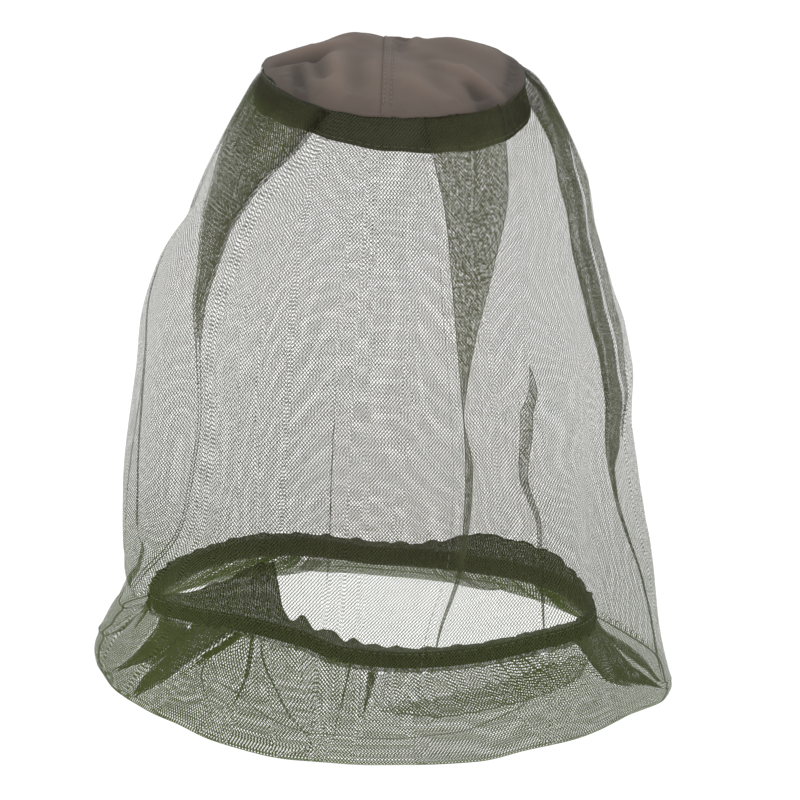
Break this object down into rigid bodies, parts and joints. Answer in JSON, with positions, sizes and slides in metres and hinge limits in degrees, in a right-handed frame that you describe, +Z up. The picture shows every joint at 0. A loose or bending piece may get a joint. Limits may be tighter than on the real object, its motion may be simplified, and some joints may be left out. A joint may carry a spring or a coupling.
{
  "type": "beekeeping veil",
  "caption": "Pull-over insect veil: a flat cloth crown on an elastic headband, and a bell of fine net turned under to an elastic neck hem that lifts clear of the face.",
  "frame": {"origin": "centre of the headband's lower edge, on the axis of the headband's round opening", "axes": "+Z up along the headband's axis, the wearer's face towards -Y, the wearer's left towards +X"},
  "size_m": [0.2802, 0.2802, 0.3172],
  "materials": {
    "crown_cloth": "closely woven polyester, matt, slightly creased",
    "crown_thread": "spun polyester thread, matt",
    "band_net": "net folded double over the elastic, fine hatch",
    "elastic": "braided flat elastic, ribbed",
    "tack_thread": "zigzag bar tack, matt",
    "net": "fine warp-knit polyester net, see-through, soft sheen",
    "hem_net": "net gathered into a ruched casing",
    "thread": "spun polyester thread, matt"
  },
  "bodies": {
    "hood": {"crown_left_panel": "crown_cloth", "crown_right_panel": "crown_cloth", "crown_seam_stitches": "crown_thread", "crown_edge_stitches": "thread", "headband_casing": "band_net", "headband_elastic": "elastic", "headband_elastic_join": "tack_thread", "headband_hem_stitches": "thread", "net_upper": "net", "net_seam_upper_stitches": "thread"},
    "neck": {"net_lower": "net", "net_seam_lower_stitches": "thread", "net_underfold": "net", "neck_casing": "hem_net", "neck_elastic": "elastic", "neck_elastic_join": "tack_thread", "neck_casing_stitches": "thread"}
  },
  "joints": [
    {"name": "neck_lift", "type": "slide", "parent": "hood", "child": "neck", "axis": [0, 0, 1], "range_m": [0, 0.12]}
  ]
}
